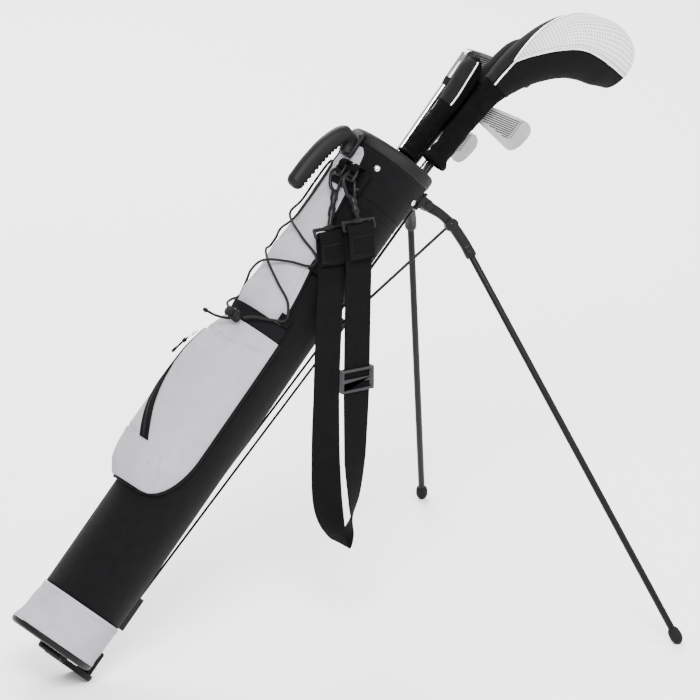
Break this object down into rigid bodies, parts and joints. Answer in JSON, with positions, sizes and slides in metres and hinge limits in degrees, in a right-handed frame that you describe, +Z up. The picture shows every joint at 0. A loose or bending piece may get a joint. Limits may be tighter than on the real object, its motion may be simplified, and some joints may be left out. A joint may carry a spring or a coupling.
{
  "type": "golf club set",
  "caption": "Leaning golf stand bag with folding legs, ball pocket, laced panel and shoulder strap, holding covered woods and irons that slide out.",
  "frame": {"origin": "middle of the flat sole under the bag foot, on the ground", "axes": "+Z up; +X toward the legs in the bag lean plane; the strap hangs on the -Y side"},
  "size_m": [0.9625, 0.6914, 0.8618],
  "materials": {
    "tube_core": "matte",
    "black_fabric": "woven matte",
    "grey_fabric": "woven matte",
    "black_plastic": "grained",
    "black_rubber": "matte",
    "black_paint": "satin",
    "black_webbing": "ribbed weave",
    "silver_metal": "polished",
    "black_cord": "braided",
    "dark_metal": "gloss",
    "grey_plastic": "satin",
    "grip_rubber": "matte",
    "steel": "satin",
    "graphite": "gloss",
    "head_metal": "gloss",
    "black_knit": "knit"
  },
  "bodies": {
    "bag": {"liner_tube": "tube_core", "sleeve_fabric": "black_fabric", "boot_band": "grey_fabric", "base_cap": "black_plastic", "collar": "black_plastic", "carry_handle": "black_plastic", "hinge_bracket_near": "black_plastic", "hinge_bracket_far": "black_plastic", "wire_guide": "black_plastic", "ball_pocket": "grey_fabric", "upper_panel": "grey_fabric", "elastic_band": "black_webbing", "zip_tape": "black_webbing", "lace_tab_low_near": "black_webbing", "lace_tab_low_far": "black_webbing", "lace_tab_high_near": "black_webbing", "lace_tab_high_far": "black_webbing", "bungee_cord": "black_cord", "cord_lock": "black_plastic", "strap_tab": "black_webbing", "strap_ring_near": "dark_metal", "strap_ring_far": "dark_metal"},
    "foot_lever": {"foot_lever": "black_rubber"},
    "leg_near": {"leg_elbow_near": "black_plastic", "leg_tube_near": "black_paint", "foot_tip_near": "black_rubber"},
    "leg_far": {"leg_elbow_far": "black_plastic", "leg_tube_far": "black_paint", "foot_tip_far": "black_rubber"},
    "slider": {"slide_block": "black_plastic", "push_wire": "black_paint"},
    "rod_near": {"push_rod_near": "black_paint"},
    "rod_far": {"push_rod_far": "black_paint"},
    "strap_hooks": {"snap_hook_near": "dark_metal", "snap_hook_far": "dark_metal"},
    "strap": {"strap_web": "black_webbing"},
    "buckle": {"strap_buckle": "grey_plastic"},
    "zip": {"zip_slider": "silver_metal"},
    "lock_button": {"cord_lock_button": "black_plastic"},
    "driver": {"driver_grip": "grip_rubber", "driver_shaft": "graphite", "driver_head": "head_metal", "driver_cover": "black_knit"},
    "fairway": {"fairway_grip": "grip_rubber", "fairway_shaft": "graphite", "fairway_head": "head_metal", "fairway_cover": "black_knit"},
    "hybrid": {"hybrid_grip": "grip_rubber", "hybrid_shaft": "graphite", "hybrid_head": "head_metal", "hybrid_cover": "black_knit"},
    "iron_front": {"iron_front_grip": "grip_rubber", "iron_front_shaft": "steel", "iron_front_head": "steel"},
    "iron_low": {"iron_low_grip": "grip_rubber", "iron_low_shaft": "steel", "iron_low_head": "steel"},
    "iron_back": {"iron_back_grip": "grip_rubber", "iron_back_shaft": "steel", "iron_back_head": "steel"}
  },
  "joints": [
    {"name": "leg_near_fold", "type": "hinge", "parent": "bag", "child": "leg_near", "pos_m": [0.53891, -0.03626, 0.60917], "axis": [0.347, 0.8854, -0.3093], "range_deg": [0, 60.5]},
    {"name": "leg_far_fold", "type": "hinge", "parent": "bag", "child": "leg_far", "pos_m": [0.53891, 0.03626, 0.60917], "axis": [-0.347, 0.8854, 0.3093], "range_deg": [0, 61.5]},
    {"name": "push_slide", "type": "slide", "parent": "bag", "child": "slider", "axis": [-0.6996, 0, -0.7145], "range_m": [0, 0.045]},
    {"name": "rod_near_swing", "type": "hinge", "parent": "slider", "child": "rod_near", "pos_m": [0.40958, -0.00956, 0.44314], "axis": [0.347, 0.8854, -0.3093], "range_deg": [-6.3, 0]},
    {"name": "rod_far_swing", "type": "hinge", "parent": "slider", "child": "rod_far", "pos_m": [0.40958, 0.00956, 0.44314], "axis": [-0.347, 0.8854, 0.3093], "range_deg": [-6.3, 0]},
    {"name": "foot_tilt", "type": "hinge", "parent": "bag", "child": "foot_lever", "pos_m": [-0.04953, 0, 0.04673], "axis": [0, 1, 0], "range_deg": [0, 25]},
    {"name": "strap_swing", "type": "hinge", "parent": "bag", "child": "strap_hooks", "pos_m": [0.4025, -0.034, 0.6725], "axis": [0, 1, 0], "range_deg": [0, 42]},
    {"name": "strap_tilt", "type": "hinge", "parent": "strap_hooks", "child": "strap", "pos_m": [0.386, -0.068, 0.604], "axis": [-1, 0, 0], "range_deg": [0, 8]},
    {"name": "buckle_slide", "type": "slide", "parent": "strap", "child": "buckle", "axis": [0.0163, 0, 0.9999], "range_m": [-0.012, 0.045]},
    {"name": "zip_run", "type": "hinge", "parent": "bag", "child": "zip", "pos_m": [0.21054, -0.1371, 0.44723], "axis": [-0.5613, -0.0142, 0.8275], "range_deg": [0, 37.6]},
    {"name": "lock_press", "type": "slide", "parent": "bag", "child": "lock_button", "axis": [0.7465, 0, -0.6654], "range_m": [0, 0.004], "stiffness_N_per_m": 150},
    {"name": "driver_out", "type": "slide", "parent": "bag", "child": "driver", "axis": [0.7033, 0.0073, 0.7108], "range_m": [0, 0.165]},
    {"name": "fairway_out", "type": "slide", "parent": "bag", "child": "fairway", "axis": [0.7368, 0.0097, 0.676], "range_m": [0, 0.24]},
    {"name": "hybrid_out", "type": "slide", "parent": "bag", "child": "hybrid", "axis": [0.7066, 0.0254, 0.7072], "range_m": [0, 0.42]},
    {"name": "iron_front_out", "type": "slide", "parent": "bag", "child": "iron_front", "axis": [0.7085, 0.0073, 0.7057], "range_m": [0, 0.0145]},
    {"name": "iron_low_out", "type": "slide", "parent": "bag", "child": "iron_low", "axis": [0.7059, -0.0061, 0.7083], "range_m": [0, 0.07]},
    {"name": "iron_back_out", "type": "slide", "parent": "bag", "child": "iron_back", "axis": [0.6698, 0.0146, 0.7424], "range_m": [0, 0.18]}
  ],
  "couplings": [
    {"joint": "leg_far_fold", "follows": "leg_near_fold", "ratio": 1},
    {"joint": "push_slide", "follows": "leg_near_fold", "m_per_rad": 0.041627},
    {"joint": "rod_near_swing", "follows": "leg_near_fold", "ratio": -0.08756},
    {"joint": "rod_far_swing", "follows": "leg_near_fold", "ratio": -0.08756},
    {"joint": "foot_tilt", "follows": "leg_near_fold", "ratio": 0.38},
    {"joint": "strap_swing", "follows": "leg_near_fold", "ratio": 0.655},
    {"joint": "strap_tilt", "follows": "leg_near_fold", "ratio": 0.08}
  ]
}
